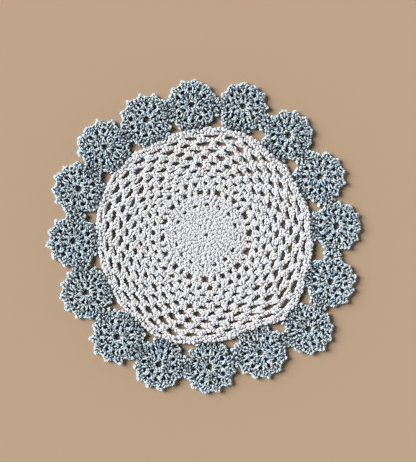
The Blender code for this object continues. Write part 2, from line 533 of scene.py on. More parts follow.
class Depth:
    """How far inside the fabric a place lies, seen from its nearer open side; the finishes paint shade by
    it.
    """

    def __init__(self, strands: list[Strand], cell: float = 0.5 * MM, reach: float = 2.0 * MM) -> None:
        """Maps the fabric's upper and lower surface.

        Args:
            strands: all yarn.
            cell: the map's cell.
            reach: how far around a place its surroundings count.
        """
        self.cell = cell
        samples = [evenly(strand.points, strand.radius, cell) for strand in strands]
        points = np.vstack([line for line, _ in samples])
        radius = np.concatenate([thickness for _, thickness in samples])
        margin = 4 * reach
        self.corner = points[:, :2].min(axis=0) - margin
        self.size = np.ceil((points[:, :2].max(axis=0) + margin - self.corner) / cell).astype(int) + 1
        self.thick = float((points[:, 2] + radius).max())
        upper = np.zeros(self.size[0] * self.size[1])
        lower = np.full(self.size[0] * self.size[1], self.thick)
        spread = math.ceil(float(radius.max()) / cell)
        where = np.rint((points[:, :2] - self.corner) / cell).astype(int)
        for dx in range(-spread, spread + 1):
            for dy in range(-spread, spread + 1):
                rise = radius**2 - (dx * dx + dy * dy) * cell**2
                hit = rise >= 0
                place = (where[hit, 0] + dx) * self.size[1] + where[hit, 1] + dy
                rise = np.sqrt(rise[hit])
                np.maximum.at(upper, place, points[hit, 2] + rise)
                np.minimum.at(lower, place, points[hit, 2] - rise)
        width = round(reach / cell)
        self.upper = self.blurred(upper.reshape(self.size), width)
        self.lower = self.blurred(lower.reshape(self.size), width)

    @staticmethod
    def blurred(grid: Array, width: int) -> Array:
        """The grid's mean over a square of cells, taken twice.

        Args:
            grid: the cells.
            width: how many cells the square reaches to each side.

        Returns:
            The new grid.
        """
        for _ in range(2):
            for axis in (0, 1):
                total = np.insert(np.cumsum(grid, axis=axis), 0, 0.0, axis=axis)
                count = grid.shape[axis]
                high = np.minimum(np.arange(count) + width + 1, count)
                low = np.maximum(np.arange(count) - width, 0)
                span = (high - low).reshape((-1, 1) if axis == 0 else (1, -1))
                grid = (np.take(total, high, axis=axis) - np.take(total, low, axis=axis)) / span
        return grid

    def at(self, points: Array) -> Array:
        """The depth of points in metres: above zero inside the fabric, below it where open.

        Args:
            points: rows of x, y and z.

        Returns:
            A depth for each.
        """
        where = np.rint((points[:, :2] - self.corner) / self.cell).astype(int)
        where = np.clip(where, 0, self.size - 1)
        above = self.upper[where[:, 0], where[:, 1]] - points[:, 2]
        below = points[:, 2] - self.lower[where[:, 0], where[:, 1]]
        return np.minimum(above, below)


# ---------------- meshes


class Spinner:
    """Spins strands into one mesh: a tube of yarn round each."""

    def __init__(self, depth: Depth) -> None:
        """Keeps the fabric's depth, which every piece is marked with."""
        self.depth = depth

    def frames(self, line: Array) -> tuple[Array, Array]:
        """Two directions across the line at each point that turn no more than it does.

        Args:
            line: the yarn's middle.

        Returns:
            The two directions, at right angles to the line and each other.
        """
        tangents = np.gradient(line, axis=0)
        tangents /= np.maximum(np.linalg.norm(tangents, axis=1, keepdims=True), TINY)
        steep = abs(tangents[0][2]) >= 0.9
        aside = np.array((1.0, 0.0, 0.0) if steep else (0.0, 0.0, 1.0))
        normal = aside - tangents[0] * float(aside @ tangents[0])
        x, y, z = (normal / np.linalg.norm(normal)).tolist()
        rows = []
        for tx, ty, tz in tangents.tolist():
            along = x * tx + y * ty + z * tz
            x, y, z = x - along * tx, y - along * ty, z - along * tz
            size = math.sqrt(x * x + y * y + z * z) or 1.0
            x, y, z = x / size, y / size, z / size
            rows.append((x, y, z))
        normals = np.array(rows)
        return normals, np.cross(tangents, normals)

    def tube(self, strand: Strand, yarn: Yarn) -> tuple[Array, Array]:
        """The rings of one tube.

        Args:
            strand: the run of yarn.
            yarn: gives the number of sides and the steps.

        Returns:
            Ring points (rings, sides, 3), and the length along the yarn at each ring.
        """
        line, radius = smooth_line(strand.points, strand.radius, 4)
        line, radius = by_bend(line, radius, yarn)
        normals, across = self.frames(line)
        angle = np.arange(yarn.sides) * TURN / yarn.sides
        rings = line[:, None, :] + radius[:, None, None] * (
            np.cos(angle)[None, :, None] * normals[:, None, :]
            + np.sin(angle)[None, :, None] * across[:, None, :]
        )
        return rings, lengths_along(line)

    def mesh(self, name: str, strands: list[Strand], yarn: Yarn) -> bpy.types.Object:
        """One object of all the strands.

        Args:
            name: the piece's name.
            strands: its runs of yarn.
            yarn: what they are made of.

        Returns:
            The object, in the scene.
        """
        sides = yarn.sides
        points, quads, caps, around, along = [], [], [], [], []
        start = 0
        side = np.arange(sides)
        after = (side + 1) % sides
        for strand in strands:
            rings, length = self.tube(strand, yarn)
            count = len(rings)
            points.append(rings.reshape(-1, 3))
            base = start + np.arange(count - 1)[:, None] * sides
            corners = (base + side, base + after, base + sides + after, base + sides + side)
            quads.append(np.stack(corners, axis=2).reshape(-1, 4))
            u = np.stack((side, side + 1, side + 1, side), axis=1) / sides
            around.append(np.tile(u.reshape(-1), count - 1))
            v = length / yarn.ply_pitch
            ends = np.stack((v[:-1], v[:-1], v[1:], v[1:]), axis=1)
            along.append(np.repeat(ends[:, None, :], sides, axis=1).reshape(-1))
            caps.append((start + side[::-1], start + (count - 1) * sides + side))
            start += count * sides
        spots = np.vstack(points)
        quad = np.vstack(quads)
        loops = np.concatenate((quad.reshape(-1), np.array(caps).reshape(-1))).astype(np.int32)
        totals = np.concatenate((np.full(len(quad), 4), np.full(2 * len(strands), sides)))
        starts = np.concatenate(([0], np.cumsum(totals)[:-1])).astype(np.int32)
        mesh = bpy.data.meshes.new(name)
        mesh.vertices.add(len(spots))
        mesh.vertices.foreach_set("co", spots.astype(np.float32).reshape(-1))
        mesh.loops.add(len(loops))
        mesh.loops.foreach_set("vertex_index", loops)
        mesh.polygons.add(len(totals))
        mesh.polygons.foreach_set("loop_start", starts)
        mesh.polygons.foreach_set("use_smooth", np.ones(len(totals), bool))
        mesh.update(calc_edges=True)
        flat = np.zeros((len(loops), 2), np.float32)
        flat[: quad.size, 0] = np.concatenate(around)
        flat[: quad.size, 1] = np.concatenate(along)
        mesh.uv_layers.new(name="yarn").uv.foreach_set("vector", flat.reshape(-1))
        mark = mesh.attributes.new("depth", "FLOAT", "POINT")
        mark.data.foreach_set("value", (self.depth.at(spots) / MM).astype(np.float32))
        return linked(bpy.data.objects.new(name, mesh))


# ---------------- finishes


class Nodes:
    """The nodes of a material or a surround, with short ways to add to them."""

    def __init__(self, owner: bpy.types.Material | bpy.types.World) -> None:
        """Turns the owner's nodes on."""
        owner.use_nodes = True
        self.tree = owner.node_tree

    def feed(self, node: bpy.types.Node, inputs: dict[int | str, object]) -> None:
        """Gives a node what its inputs take in.

        Args:
            node: the node.
            inputs: for each input's name or number a value, a colour or another node's output.
        """
        for key, value in inputs.items():
            if isinstance(value, Socket):
                self.tree.links.new(value, node.inputs[key])
            elif isinstance(value, tuple):
                node.inputs[key].default_value = (*value, 1.0)
            else:
                node.inputs[key].default_value = value

    def add(self, kind: str, inputs: dict[int | str, object], **settings: str) -> bpy.types.Node:
        """A new node.

        Args:
            kind: its type.
            inputs: what its inputs take in.
            **settings: its other settings.

        Returns:
            The node.
        """
        node = self.tree.nodes.new("ShaderNode" + kind)
        for name, value in settings.items():
            setattr(node, name, value)
        self.feed(node, inputs)
        return node

    def math(self, operation: str, first: object, second: object) -> Socket:
        """What a sum makes of two values."""
        return self.add("Math", {0: first, 1: second}, operation=operation).outputs[0]

    def ramp(self, value: Socket, zero: float, one: float, **settings: str) -> Socket:
        """A share that goes with a value from zero to one, and no further."""
        inputs = {"Value": value, "From Min": zero, "From Max": one}
        return self.add("MapRange", inputs, **settings).outputs[0]

    def noise(self, place: Socket, scale: float, detail: float) -> Socket:
        """A cloudy share that differs from place to place."""
        return self.add("TexNoise", {"Vector": place, "Scale": scale, "Detail": detail}).outputs[0]

    def mix(self, share: object, low: object, high: object, blend: str = "MIX") -> Socket:
        """A colour between two others."""
        inputs = {0: share, 6: low, 7: high}
        return self.add("Mix", inputs, data_type="RGBA", blend_type=blend).outputs[2]


@dataclass(frozen=True)
class CottonFinish:
    """Plied cotton: its colour, how it varies, and its relief.

    Light and shade are the yarn's lighter and darker colours, mixed by random cloud and by the
    plies' height, which paints shade into the valleys between plies; fleck is the colour of a single
    fibre. Tint is the colour that random patches turn to. The two colours of painted shade are those
    that the sides of a strand and the inside of the fabric turn to.
    """

    name: str
    light: Colour
    shade: Colour
    # painted shade: the colour far inside the fabric, where strands shadow each other
    painted_deep_shade: Colour
    fleck: Colour
    tint: Colour
    # painted shade: the colour of a strand's sides
    painted_flank_shade: Colour
    # the depths in mm at which the painted shade inside the fabric starts and is full
    shade_start_depth: float
    full_shade_depth: float
    roughness: float
    sheen: float
    shine: float
    relief: float = 0.2 * MM
    bump: float = 0.9
    ply_roundness: float = 0.45
    fibre_scale: float = 2600.0
    fibre_height: float = 0.5
    fleck_from: float = 0.62
    fleck_share: float = 0.35
    cloud_scale: float = 160.0
    # share of random cloud and of the plies' height, which paints shade between plies
    tone_and_ply_shade: float = 0.6
    tint_scale: float = 70.0
    tint_from: float = 0.42
    tint_full: float = 0.68
    clean_reach: float = 26.0 * MM
    # a normal pointing up more than this gets no painted shade on the sides
    flank_shade_from: float = 0.9

    def material(self, yarn: Yarn) -> bpy.types.Material:
        """The finish as nodes that follow the yarn's own length and girth.

        Args:
            yarn: gives the number of plies.

        Returns:
            The material.
        """
        material = bpy.data.materials.new(self.name)
        nodes = Nodes(material)
        place = nodes.add("TexCoord", {}).outputs["Object"]
        fibre = nodes.noise(place, self.fibre_scale, 3.0)
        ply = self.plies(nodes, yarn)
        height = nodes.math("ADD", ply, nodes.math("MULTIPLY", fibre, self.fibre_height))
        relief = {"Strength": self.bump, "Distance": self.relief, "Height": height}
        colour = self.patched(nodes, place, self.fibres_and_ply_shade(nodes, place, ply, fibre))
        look = {
            "Base Color": self.sunk(nodes, colour),
            "Roughness": self.roughness,
            "Sheen Weight": self.sheen,
            "Sheen Roughness": 0.5,
            "Specular IOR Level": self.shine,
            "Normal": nodes.add("Bump", relief).outputs[0],
        }
        nodes.feed(nodes.tree.nodes["Principled BSDF"], look)
        return material

    def plies(self, nodes: Nodes, yarn: Yarn) -> Socket:
        """The rounded plies, which wind round the strand.

        Args:
            nodes: the material's nodes.
            yarn: gives their number.

        Returns:
            Their height as a share.
        """
        yarn_map = nodes.add("UVMap", {}, uv_map="yarn").outputs[0]
        parts = nodes.add("SeparateXYZ", {0: yarn_map}).outputs
        around, along = (nodes.math("MULTIPLY", parts[axis], yarn.plies) for axis in (0, 1))
        helix = nodes.math("PINGPONG", nodes.math("ADD", around, along), 0.5)
        return nodes.math("POWER", nodes.math("MULTIPLY", helix, 2.0), self.ply_roundness)

    def fibres_and_ply_shade(self, nodes: Nodes, place: Socket, ply: Socket, fibre: Socket) -> Socket:
        """The yarn's colour: random tone, painted shade in the valleys between plies, and flecks.

        Args:
            nodes: the material's nodes.
            place: a place on the object.
            ply: the height of the plies there.
            fibre: the fibre noise there.

        Returns:
            The colour.
        """
        cloud = nodes.noise(place, self.cloud_scale, 2.0)
        # painted shade: low in the plies' valleys the colour turns to shade, and random cloud varies it
        # too
        shares = (nodes.math("MULTIPLY", part, self.tone_and_ply_shade) for part in (ply, cloud))
        tone_and_ply_shade = nodes.math("MINIMUM", nodes.math("ADD", *shares), 1.0)
        flecks = nodes.math("GREATER_THAN", fibre, self.fleck_from)
        flecks = nodes.math("MULTIPLY", flecks, self.fleck_share)
        return nodes.mix(flecks, nodes.mix(tone_and_ply_shade, self.shade, self.light), self.fleck)

    def patched(self, nodes: Nodes, place: Socket, colour: Socket) -> Socket:
        """The colour with patches of tint, which leave the middle of the mat clean.

        Args:
            nodes: the material's nodes.
            place: a place on the object.
            colour: the yarn's colour.

        Returns:
            The new colour.
        """
        patch = nodes.ramp(nodes.noise(place, self.tint_scale, 4.0), self.tint_from, self.tint_full)
        reach = nodes.add("VectorMath", {0: place}, operation="LENGTH").outputs["Value"]
        share = nodes.math("MULTIPLY", patch, nodes.ramp(reach, self.clean_reach, 2 * self.clean_reach))
        return nodes.mix(share, colour, self.tint, "MULTIPLY")

    def sunk(self, nodes: Nodes, colour: Socket) -> Socket:
        """The colour with painted shade: darker on a strand's sides and far inside the fabric.

        Args:
            nodes: the material's nodes.
            colour: the yarn's colour.

        Returns:
            The new colour.
        """
        smooth = {"interpolation_type": "SMOOTHSTEP"}
        # painted shade on a strand's sides, where its normal turns away from up
        normal = nodes.add("NewGeometry", {}).outputs["Normal"]
        upward = nodes.add("SeparateXYZ", {0: normal}).outputs[2]
        sideways = nodes.ramp(upward, self.flank_shade_from, 0.0, **smooth)
        colour = nodes.mix(sideways, colour, self.painted_flank_shade, "MULTIPLY")
        # painted shade inside the fabric, by the depth of each place
        depth = nodes.add("Attribute", {}, attribute_name="depth").outputs["Fac"]
        return nodes.mix(nodes.ramp(depth, self.shade_start_depth, self.full_shade_depth, **smooth), colour, self.painted_deep_shade)


OFF_WHITE = CottonFinish(
    name="off_white_yarn",
    light=(0.90, 0.94, 1.0),
    shade=(0.83, 0.855, 0.91),
    # painted shade inside the fabric
    painted_deep_shade=(0.53, 0.52, 0.52),
    fleck=(0.96, 0.965, 0.98),
    tint=(1.0, 0.94, 0.87),
    # painted shade on a strand's sides
    painted_flank_shade=(0.66, 0.68, 0.72),
    shade_start_depth=-0.6,
    full_shade_depth=1.5,
    roughness=0.85,
    sheen=0.0,
    shine=0.08,
)
BLUE_GREY = CottonFinish(
    name="blue_grey_yarn",
    light=(0.83, 0.965, 1.0),
    shade=(0.50, 0.655, 0.80),
    # painted shade inside the fabric
    painted_deep_shade=(0.006, 0.011, 0.019),
    fleck=(0.88, 0.97, 1.0),
    tint=(0.82, 0.905, 1.0),
    # painted shade on a strand's sides
    painted_flank_shade=(0.66, 0.72, 0.79),
    shade_start_depth=-1.1,
    full_shade_depth=0.5,
    roughness=0.38,
    sheen=0.15,
    shine=0.6,
)


# ---------------- the ring of rosettes


@dataclass(frozen=True)
class RosettePlace:
    """Where a rosette lies: bearing and turn in degrees; reach from the mat's centre and tip in mm."""

    bearing: float
    reach: float
    turn: float
    tip: float

    @property
    def centre(self) -> Array:
        """Its centre in metres."""
        return polar(math.radians(self.bearing), self.reach * MM)


PLACES = (
    RosettePlace(95.7, 138.1, 6.0, 27.1),
    RosettePlace(73.7, 141.5, 13.3, 25.4),
    RosettePlace(50.5, 137.0, 25.9, 26.1),
    RosettePlace(27.3, 135.7, 29.5, 27.0),
    RosettePlace(4.3, 138.2, 12.1, 26.3),
    RosettePlace(-20.1, 140.0, 23.5, 26.9),
    RosettePlace(-42.1, 146.3, 21.4, 26.4),
    RosettePlace(-64.5, 135.1, 2.6, 28.6),
    RosettePlace(-88.1, 137.7, 5.4, 28.2),
    RosettePlace(-109.7, 143.0, 18.3, 26.6),
    RosettePlace(-131.0, 140.0, 18.5, 28.8),
    RosettePlace(-154.5, 138.1, 24.8, 28.4),
    RosettePlace(-177.9, 138.4, 24.4, 28.5),
    RosettePlace(159.5, 141.9, 16.7, 28.1),
    RosettePlace(138.5, 140.7, 28.4, 29.8),
    RosettePlace(116.7, 136.4, 28.6, 28.0),
)
JOIN_RADIUS = 27.8 * MM  # from a rosette's centre to the mat
JOIN_TURN = math.radians(-3.5)  # how far that join lies off the line to the mat's centre
SEAM_INNER = 10.5 * MM  # the seam's reach inwards and outwards from between two rosettes
SEAM_OUTER = 9.5 * MM
SEAM_LEAN = 1.8 * MM
MEAN_EDGE = sum(place.reach for place in PLACES) / len(PLACES) * MM - JOIN_RADIUS


@dataclass(frozen=True)
class Seam:
    """The straight line along which two rosettes are joined, from its inner to its outer end."""

    inner: Array
    outer: Array

    @property
    def across(self) -> Array:
        """The direction at right angles to it."""
        along = self.outer - self.inner
        return np.array((along[1], -along[0])) / np.linalg.norm(along)

    @classmethod
    def between(cls, here: RosettePlace, neighbour: RosettePlace) -> "Seam":
        """The seam of two rosettes, a little off the line to the mat's centre.

        Args:
            here: the first rosette.
            neighbour: the rosette after it.

        Returns:
            The seam.
        """
        middle = (here.centre + neighbour.centre) / 2
        outwards = middle / np.linalg.norm(middle)
        sideways = np.array((-outwards[1], outwards[0]))
        return cls(middle - outwards * SEAM_INNER + sideways * SEAM_LEAN, middle + outwards * SEAM_OUTER)

    def distance(self, start: Array, bearing: float) -> float:
        """How far a ray runs from a point until it crosses the seam's line.

        Args:
            start: the ray's start.
            bearing: its direction in radians.

        Returns:
            The length, infinite where the ray runs away from the line or nearly along it.
        """
        away = float(self.across @ (self.inner - start))
        share = float(self.across @ polar(bearing, 1.0)) * math.copysign(1.0, away)
        return abs(away) / share if share > 0.05 else math.inf


def wrapped(angle: float) -> float:
    """An angle in radians within half a turn of zero."""
    return (angle + math.pi) % TURN - math.pi


class RingEdge:
    """The uneven edge that the rosettes give the mat."""

    def __init__(self, places: tuple[RosettePlace, ...]) -> None:
        """Sorts the rosettes' bearings and reaches.

        Args:
            places: the rosettes.
        """
        ordered = sorted(places, key=lambda place: place.bearing % 360.0)
        bearings = np.radians([place.bearing % 360.0 for place in ordered])
        reaches = np.array([place.reach for place in ordered]) * MM
        self.bearings = np.concatenate((bearings[-1:] - TURN, bearings, bearings[:1] + TURN))
        self.reaches = np.concatenate((reaches[-1:], reaches, reaches[:1]))
        self.centres = [place.centre for place in places]

    def eased(self, bearing: float) -> float:
        """The edge's radius, eased from one rosette's join to the next.

        Args:
            bearing: in radians.

        Returns:
            The radius.
        """
        bearing %= TURN
        after = int(np.searchsorted(self.bearings, bearing))
        before = after - 1
        span = self.bearings[after] - self.bearings[before]
        share = 0.5 - 0.5 * math.cos(math.pi * (bearing - self.bearings[before]) / span)
        reach = self.reaches[before] + (self.reaches[after] - self.reaches[before]) * share
        return float(reach) - JOIN_RADIUS

    def pulled(self, bearing: float, radius: float, start: float) -> float:
        """A round's radius where the mat is drawn out or in towards its edge.

        Args:
            bearing: in radians.
            radius: the round's own radius.
            start: inside this radius nothing is drawn.

        Returns:
            The radius there.
        """
        share = max(0.0, (radius - start) / (MEAN_EDGE - start))
        return radius + (self.eased(bearing) - MEAN_EDGE) * min(share, 1.0) ** 2

    def hollow(self, bearing: float, bulge: float) -> float:
        """The radius at which a ray from the mat's centre leaves the mat.

        Args:
            bearing: in radians.
            bulge: how far the edge stands out between two rosettes.

        Returns:
            The radius where it meets a rosette, or where the bulge ends.
        """
        ray = polar(bearing, 1.0)
        nearest = self.eased(bearing) + bulge
        for centre in self.centres:
            along = float(centre @ ray)
            aside = float(centre @ centre) - along**2
            if along > 0 and aside < JOIN_RADIUS**2:
                nearest = min(nearest, along - math.sqrt(JOIN_RADIUS**2 - aside))
        return nearest


# ---------------- the mat


@dataclass(frozen=True)
class NetRound:
    """A round of the net, with two posts in each space.

    Hole is the radius of its spaces and wave how far its edge arches over a space, both in mm.
    Turn is in degrees. Chains lie between the posts of two spaces, and spread is how far apart
    the posts of a space stand, as a share of the pitch.
    """

    hole: float
    turn: float
    chains: int
    wave: float
    spread: float


@dataclass
class Mat:
    """The off-white mat, from its start ring to the edge that the rosettes hold.

    A round's top is the radius of its loops. Middle, rounds and drift values set how far the
    rounds lie off centre, as they do in handwork.
    """

    yarn: Yarn
    writer: StitchWriter
    inner_writer: StitchWriter
    middle_writer: StitchWriter
    edge: RingEdge
    rng: Random
    start_ring: float = 5.3 * MM
    start_count: int = 8
    dense_rise: float = 4.6 * MM
    dense_rounds: int = 5
    dense_pitch: float = 5.0 * MM
    dense_uneven: float = 0.25  # of a stitch
    gap_top: float = 36.4 * MM
    gap_turn: float = 18.4
    gap_posts: float = 4.0 * MM
    gap_heads: float = 1.15  # of gap_posts
    band_top: float = 40.8 * MM
    band_stitches: int = 3
    band_feet: float = 0.62  # of the pitch
    tall_top: float = 51.1 * MM
    tall_turn: float = 14.2
    bar_feet: float = 3.2 * MM
    bar_sink: float = 0.4 * MM
    bar_heads: float = 3.7 * MM
    bar_feet_uneven: float = 3.4  # of the mat's unevenness
    bar_heads_uneven: float = 2.8
    bar_wave: float = 0.3 * MM
    chain_shares: tuple[float, float] = (0.33, 0.67)
    spaces: int = 32
    crossed_share: float = 0.5
    foot_step: float = 1.2  # of the yarn
    lean_uneven: float = 0.06  # of the pitch
    arch_uneven: float = 0.45  # of the wave
    radius_uneven: float = 0.4 * MM
    foot_follows: float = 0.4  # how much of that unevenness its feet share
    above_hole: float = 3.5 * MM
    pull_start: float = 50.0 * MM
    rounds_shift: float = 1.05 * MM
    rounds_inset: float = 0.4 * MM
    rounds_drift: float = math.radians(2.6)
    drift_reach: float = 150.0 * MM
    inner_rounds: int = 3
    edge_rise: float = 2.2 * MM
    edge_bulge: float = 1.9 * MM
    edge_inset: float = 1.6 * MM
    edge_stitches: int = 5
    edge_feet: int = 2
    edge_drift: float = 0.7  # of the rounds' drift
    rim_wave: float = 1.0 * MM
    rim_waves: tuple[int, int] = (37, 61)
    rim_phase: float = 1.3
    rim_uneven: float = 1.6
    middle_shift: tuple[float, float] = (1.7 * MM, 1.3 * MM)
    middle_reach: float = 62.0 * MM
    unevenness: float = 0.32 * MM
    net: tuple[NetRound, ...] = (
        NetRound(56.2, -4.4, 1, 0.2, 0.24),
        NetRound(62.7, 1.4, 1, 0.6, 0.23),
        NetRound(69.0, 6.9, 1, 0.8, 0.22),
        NetRound(76.2, 13.8, 2, 1.0, 0.20),
        NetRound(83.3, 19.8, 2, 1.2, 0.19),
        NetRound(90.3, 26.5, 2, 1.1, 0.18),
        NetRound(97.6, 33.3, 3, 0.9, 0.19),
        NetRound(104.7, 39.8, 3, 0.8, 0.19),
    )
    strands: dict[str, list[Strand]] = field(default_factory=dict)

    def spot(self, bearing: float, radius: float, uneven: float = 0.0) -> Array:
        """A place on the mat, with its off-centre middle and its pulled edge.

        Args:
            bearing: in radians.
            radius: the round's own radius there.
            uneven: how unevenly the place is kept, as a share of the mat's unevenness.

        Returns:
            The place.
        """
        crowding = self.rounds_drift * math.sin(math.pi * min(radius / self.drift_reach, 1.0))
        bearing += crowding * math.sin(bearing)
        share = max(0.0, 1.0 - radius / self.middle_reach)
        shift = (self.rounds_shift * math.cos(bearing) - self.rounds_inset) * (1.0 - share)
        place = polar(bearing, self.edge.pulled(bearing, radius, self.pull_start) + shift)
        wander = self.rng.normal(0.0, self.unevenness * uneven, 2) if uneven else 0.0
        return place + np.array(self.middle_shift) * share + wander

    @staticmethod
    def between(nodes: list[Node], position: float) -> Array:
        """A place on a round.

        Args:
            nodes: the round's nodes.
            position: the number of stitches along it, with its fraction.

        Returns:
            The place.
        """
        count = len(nodes)
        low = math.floor(position)
        share = position - low
        return nodes[low % count].at * (1 - share) + nodes[(low + 1) % count].at * share

    @property
    def repeats(self) -> int:
        """How often the rounds inside the net repeat: once for two of its spaces."""
        return self.spaces // 2

    def start(self) -> list[Node]:
        """The start ring of chain stitches."""
        count = self.start_count
        return [Node(self.spot(TURN * i / count, self.start_ring)) for i in range(count)]

    def dense(self, before: list[Node], radius: float, count: int) -> list[Node]:
        """A solid round of short stitches worked into the one before.

        Args:
            before: that round's nodes.
            radius: the new round's radius.
            count: its stitches.

        Returns:
            The new nodes.
        """
        first = math.atan2(before[0].at[1], before[0].at[0])
        nodes = []
        for i in range(count):
            position = (i + 0.5) * len(before) / count
            bearing = first + TURN * position / len(before)
            held = self.between(before, position + self.dense_uneven * self.rng.normal())
            nodes.append(Node(self.spot(bearing, radius, 1.0), Kind.SHORT, held))
        return nodes

    def gapped(self, before: list[Node]) -> list[Node]:
        """The last round but one of the middle: two stitches side by side, then chains over a gap.

        Args:
            before: the nodes of the round before.

        Returns:
            The new nodes.
        """
        nodes = []
        first = math.atan2(before[0].at[1], before[0].at[0])
        for i in range(self.repeats):
            middle = math.radians(self.gap_turn) + TURN * (i + 0.5) / self.repeats
            for side in (-0.5, 0.5):
                foot_bearing = middle + side * self.gap_posts / self.gap_top
                position = (foot_bearing - first) % TURN / TURN * len(before)
                head = middle + self.gap_heads * side * self.gap_posts / self.gap_top
                at = self.spot(head, self.gap_top, 1.0)
                nodes.append(Node(at, Kind.SHORT, self.between(before, position)))
            for share in self.chain_shares:
                away = self.gap_posts / self.gap_top * self.gap_heads / 2
                bearing = middle + away + (TURN / self.repeats - 2 * away) * share
                nodes.append(Node(self.spot(bearing, self.gap_top, 1.0)))
        return nodes

    def band(self) -> list[Node]:
        """A low solid round whose feet keep clear of the gaps below it.

        Returns:
            Its nodes.
        """
        nodes = []
        for i in range(self.repeats):
            middle = math.radians(self.gap_turn) + TURN * (i + 0.5) / self.repeats
            for k in range(self.band_stitches):
                aside = k - (self.band_stitches - 1) / 2
                foot_bearing = middle + aside * self.band_feet * TURN / self.repeats / self.band_stitches
                bearing = middle + aside * TURN / self.repeats / self.band_stitches
                foot = self.spot(foot_bearing, self.gap_top, 1.0)
                nodes.append(Node(self.spot(bearing, self.band_top, 1.0), Kind.SHORT, foot))
            nodes.append(Node(self.spot(middle + TURN / self.repeats / 2, self.band_top, 1.0)))
        return nodes

    def tall(self) -> list[Node]:
        """The tall round: pairs of thick twisted bars, wide apart and close by turns.

        Returns:
            Its nodes.
        """
        nodes = []
        foot_radius = self.band_top - self.bar_sink
        for i in range(self.repeats):
            centre = math.radians(self.tall_turn) + TURN * i / self.repeats
            for side in (-1.0, 1.0):
                foot_bearing = centre + side * self.bar_feet / self.band_top
                foot = self.spot(foot_bearing, foot_radius, self.bar_feet_uneven)
                bearing = centre + side * self.bar_heads / self.tall_top
                at = self.spot(bearing, self.tall_top, self.bar_heads_uneven)
                nodes.append(Node(at, Kind.TWISTED, foot))
                if side < 0:
                    nodes.append(Node(self.spot(centre, self.tall_top - self.bar_wave, 1.0)))
            after = centre + self.bar_heads / self.tall_top
            rest = TURN / self.repeats - 2 * self.bar_heads / self.tall_top
            for share in self.chain_shares:
                nodes.append(Node(self.spot(after + rest * share, self.tall_top + self.bar_wave, 1.0)))
        return nodes

    def net_round(self, row: NetRound, feet: list[float], foot_radius: float) -> list[Node]:
        """One round of the net.

        Args:
            row: its sizes.
            feet: the bearings of the spaces that its groups are worked into.
            foot_radius: the radius of the chain over those spaces.

        Returns:
            The nodes.
        """
        nodes = []
        step = TURN / self.spaces
        radius = row.hole * MM + self.above_hole
        for i in range(self.spaces):
            centre = math.radians(row.turn) + (i + 0.5) * step
            foot_bearing = min(feet, key=lambda bearing: abs(wrapped(bearing - centre)))
            lean = self.rng.normal(0.0, self.lean_uneven) * step
            arch = row.wave * MM * (1.0 + self.rng.normal(0.0, self.arch_uneven))
            sunk = self.rng.normal(0.0, self.radius_uneven)
            for aside in (-0.5, 0.5):
                at = self.spot(centre + lean + aside * row.spread * step, radius - arch + sunk, 1.0)
                away = aside * self.foot_step * self.yarn.diameter
                foot = self.spot(foot_bearing + away / foot_radius, foot_radius + self.foot_follows * sunk)
                nodes.append(Node(at, Kind.SHORT, foot))
            first = row.spread * step / 2
            for k in range(row.chains):
                share = (k + 1) / (row.chains + 1)
                bearing = centre + first + (step - 2 * first) * share
                rise = radius + arch * (1.0 - 2.0 * (2.0 * share - 1.0) ** 2)
                nodes.append(Node(self.spot(bearing, rise, 1.0)))
        return nodes

    def rim(self, bearing: float, inside: float) -> Array:
        """A place along the mat's edge.

        Args:
            bearing: in radians.
            inside: how far inside the edge.

        Returns:
            The place.
        """
        slow, quick = self.rim_waves
        wave = self.rim_wave * (math.sin(slow * bearing) + math.sin(quick * bearing + self.rim_phase)) / 2
        radius = self.edge.hollow(bearing, self.edge_bulge) - inside + wave
        return polar(bearing, radius) + self.rng.normal(0.0, self.unevenness * self.rim_uneven, 2)

    def edge_round(self, feet: list[float], foot_radius: float) -> list[Node]:
        """The edge: two stitches in each space of the net and three chains between.

        Args:
            feet: the bearings of those spaces.
            foot_radius: the radius of the chain over them.

        Returns:
            The nodes.
        """
        nodes = []
        pitch = TURN / self.spaces / self.edge_stitches
        for foot_bearing in feet:
            for k in range(self.edge_stitches):
                regular = foot_bearing + (k - 0.5) * pitch
                bearing = regular + self.rounds_drift * self.edge_drift * math.sin(regular)
                at = self.rim(bearing, self.edge_inset)
                least = self.edge.pulled(bearing, foot_radius, self.pull_start) + self.edge_rise
                at = at * max(1.0, least / float(np.linalg.norm(at)))
                if k < self.edge_feet:
                    aside = (k - 0.5) * self.foot_step * self.yarn.diameter
                    foot = self.spot(foot_bearing + aside / foot_radius, foot_radius)
                    nodes.append(Node(at, Kind.SHORT, foot))
                else:
                    nodes.append(Node(at))
        return nodes

    def work(self) -> None:
        """Works all rounds, in the pieces that they are kept as."""
        rounds = [self.start()]
        for number in range(1, self.dense_rounds + 1):
            radius = self.start_ring + number * self.dense_rise
            rounds.append(self.dense(rounds[-1], radius, round(TURN * radius / self.dense_pitch)))
        rounds.append(self.gapped(rounds[-1]))
        rounds.append(self.band())
        self.strands["mat_middle"] = [self.middle_writer.round(nodes) for nodes in rounds]
        self.strands["mat_tall_round"] = [self.writer.round(self.tall())]

        step = TURN / self.spaces
        feet = [math.radians(self.tall_turn) + i * step for i in range(self.spaces)]
        foot_radius = self.tall_top
        made = []
        for row in self.net:
            nodes = self.net_round(row, feet, foot_radius)
            writer = self.inner_writer if len(made) < self.inner_rounds else self.writer
            writer.cross_pairs(nodes, self.crossed_share)
            made.append(writer.round(nodes))
            feet = [math.radians(row.turn) + i * step for i in range(self.spaces)]
            foot_radius = row.hole * MM + self.above_hole + row.wave * MM
        self.strands["mat_inner_net"] = made[: self.inner_rounds]
        self.strands["mat_outer_net"] = made[self.inner_rounds :]
        self.strands["mat_edge"] = [self.writer.round(self.edge_round(feet, foot_radius))]


# ---------------- a rosette


